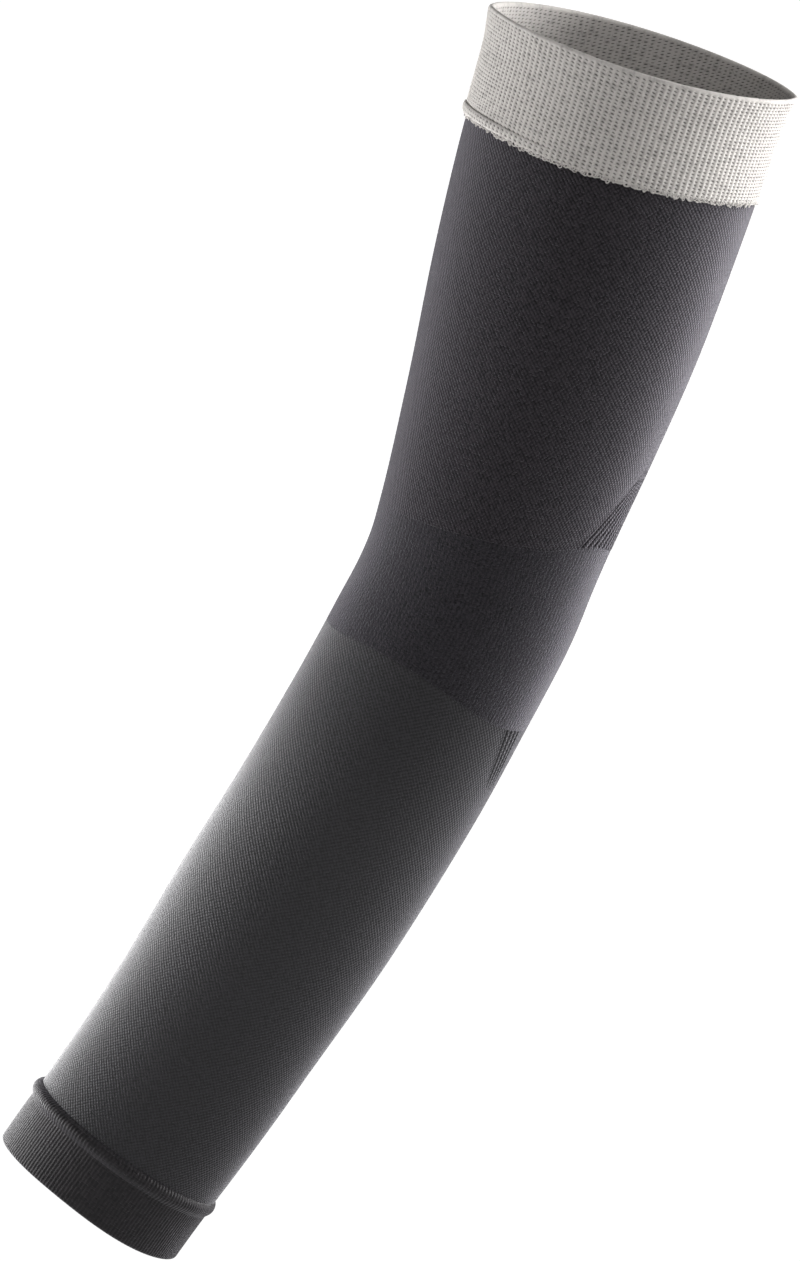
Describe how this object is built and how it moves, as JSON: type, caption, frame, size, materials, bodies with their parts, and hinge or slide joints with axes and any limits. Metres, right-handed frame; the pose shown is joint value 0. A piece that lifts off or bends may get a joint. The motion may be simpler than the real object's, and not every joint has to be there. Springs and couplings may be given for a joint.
{
  "type": "arm compression sleeve",
  "caption": "Knitted compression sleeve for the whole arm, slightly bent at the elbow, with a light comfort band at the arm opening and a doubled wrist cuff.",
  "frame": {"origin": "middle of the arm opening, in the plane of its rim, where the sleeve sits on the upper arm", "axes": "+Z out of the arm opening along the upper arm, the forearm bends towards -X, the back of the elbow faces +X, +Y across the arm"},
  "size_m": [0.1541, 0.089, 0.4337],
  "materials": {
    "band_knit": "light warm grey knit with rows of small holes, matt",
    "upper_arm_knit": "near-black fine twill-like compression knit, soft sheen at grazing angles",
    "elbow_knit": "near-black grainy plain knit, matt",
    "forearm_knit": "near-black fine compression knit, soft sheen at grazing angles",
    "cuff_knit": "near-black ribbed doubled knit, matt"
  },
  "bodies": {
    "root": {"upper_band": "band_knit", "upper_arm_knit": "upper_arm_knit", "elbow_zone": "elbow_knit", "forearm_knit": "forearm_knit", "wrist_cuff": "cuff_knit"}
  },
  "joints": []
}
